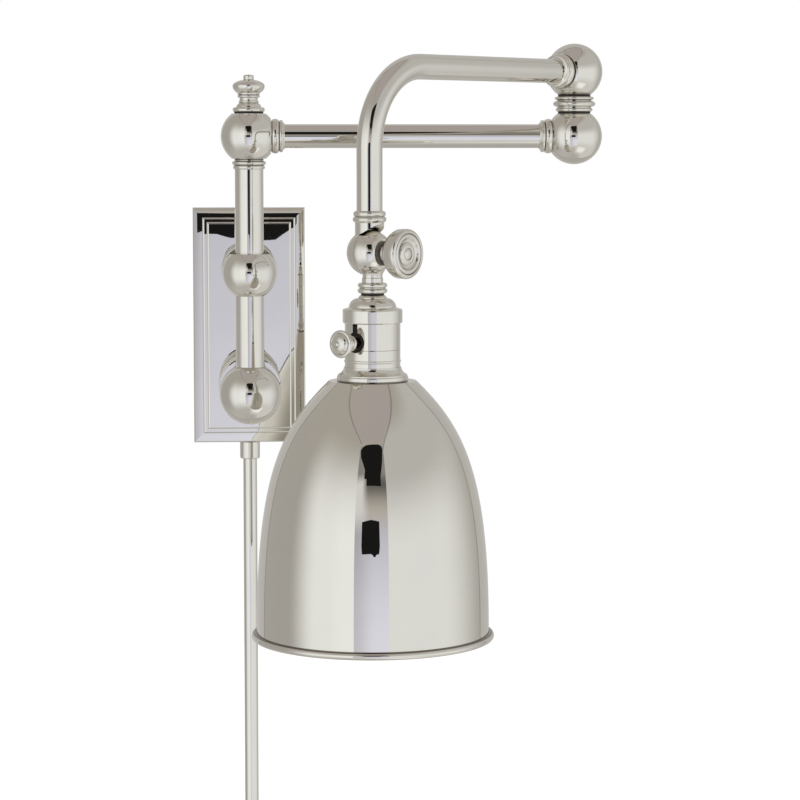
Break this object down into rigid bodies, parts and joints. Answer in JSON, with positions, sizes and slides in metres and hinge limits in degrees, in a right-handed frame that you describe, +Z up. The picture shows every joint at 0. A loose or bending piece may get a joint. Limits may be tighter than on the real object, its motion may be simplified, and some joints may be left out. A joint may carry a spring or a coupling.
{
  "type": "double swing arm wall lamp",
  "caption": "Wall lamp whose two jointed arms reach out from a stepped plate, with a bell shade on a clamped swivel, a turn-key socket and a cord cover tube.",
  "frame": {"origin": "on the wall, at the middle of the back plate's rim", "axes": "+Z up, +Y into the wall, +X to the right for someone who faces the wall"},
  "size_m": [0.2752, 0.3044, 0.6575],
  "materials": {
    "polished_nickel": "polished",
    "brass": "satin",
    "zinc_steel": "satin",
    "black_fibre": "matte",
    "black_bushing": "satin",
    "black_phenolic": "gloss",
    "paper_liner": "matte",
    "green_screw": "satin",
    "bulb_glass": "frosted"
  },
  "bodies": {
    "root": {"backplate": "polished_nickel", "wall_bracket": "zinc_steel", "ground_screw": "green_screw", "plate_screws": "polished_nickel", "lower_standoff": "polished_nickel", "upper_standoff": "polished_nickel", "standoff_nuts": "zinc_steel", "post_tube": "polished_nickel", "post_collar": "polished_nickel", "pivot_stem": "brass", "pivot_washer_lower": "black_fibre", "pivot_washer_upper": "black_fibre", "finial": "polished_nickel", "cord_cover_coupling": "polished_nickel", "cord_cover_nut": "zinc_steel", "cord_cover_tube": "polished_nickel", "cord_cover_bushing": "black_bushing"},
    "lower_arm": {"knuckle_ball": "polished_nickel", "inner_arm_collar": "polished_nickel", "lower_arm_tube": "polished_nickel", "outer_arm_collar": "polished_nickel", "elbow_lower_ball": "polished_nickel", "elbow_pivot": "brass", "elbow_washer_lower": "black_fibre", "elbow_rings": "polished_nickel", "elbow_washer_upper": "black_fibre"},
    "upper_arm": {"elbow_upper_ball": "polished_nickel", "upper_arm_collar": "polished_nickel", "upper_arm_tube": "polished_nickel", "drop_fitting": "polished_nickel"},
    "clamp": {"clamp_knob": "polished_nickel", "clamp_stud": "brass"},
    "switch_key": {"key_stem": "brass", "key_button": "polished_nickel"},
    "head": {"clamp_washer": "black_fibre", "head_fitting": "polished_nickel", "neck_collar": "polished_nickel", "socket_washer": "black_fibre", "socket_cap": "polished_nickel", "socket_shell": "polished_nickel", "socket_liner": "paper_liner", "socket_base": "black_phenolic", "screw_shell": "brass", "centre_contact": "brass", "shade_fitter": "polished_nickel", "shade_ring": "brass", "shade": "polished_nickel", "shade_rim": "polished_nickel", "bulb_glass": "bulb_glass", "bulb_cap": "brass"}
  },
  "joints": [
    {"name": "lower_arm_swing", "type": "hinge", "parent": "root", "child": "lower_arm", "pos_m": [0, -0.066, 0.13], "axis": [0, 0, 1], "range_deg": [-90, 0]},
    {"name": "upper_arm_swing", "type": "hinge", "parent": "lower_arm", "child": "upper_arm", "pos_m": [0.218, -0.066, 0.1729], "axis": [0, 0, 1], "range_deg": [-18, 127]},
    {"name": "head_tilt", "type": "hinge", "parent": "upper_arm", "child": "head", "pos_m": [0.07213, -0.22801, 0.059], "axis": [-0.7431, 0.6691, 0], "range_deg": [-60, 60]},
    {"name": "clamp_knob_turn", "type": "hinge", "parent": "upper_arm", "child": "clamp", "pos_m": [0.07213, -0.22801, 0.059], "axis": [0.7431, -0.6691, 0], "range_deg": [0, 180]},
    {"name": "switch_key_turn", "type": "hinge", "parent": "head", "child": "switch_key", "pos_m": [0.07384, -0.22954, 0.005], "axis": [-0.6691, -0.7431, 0], "continuous": true}
  ]
}
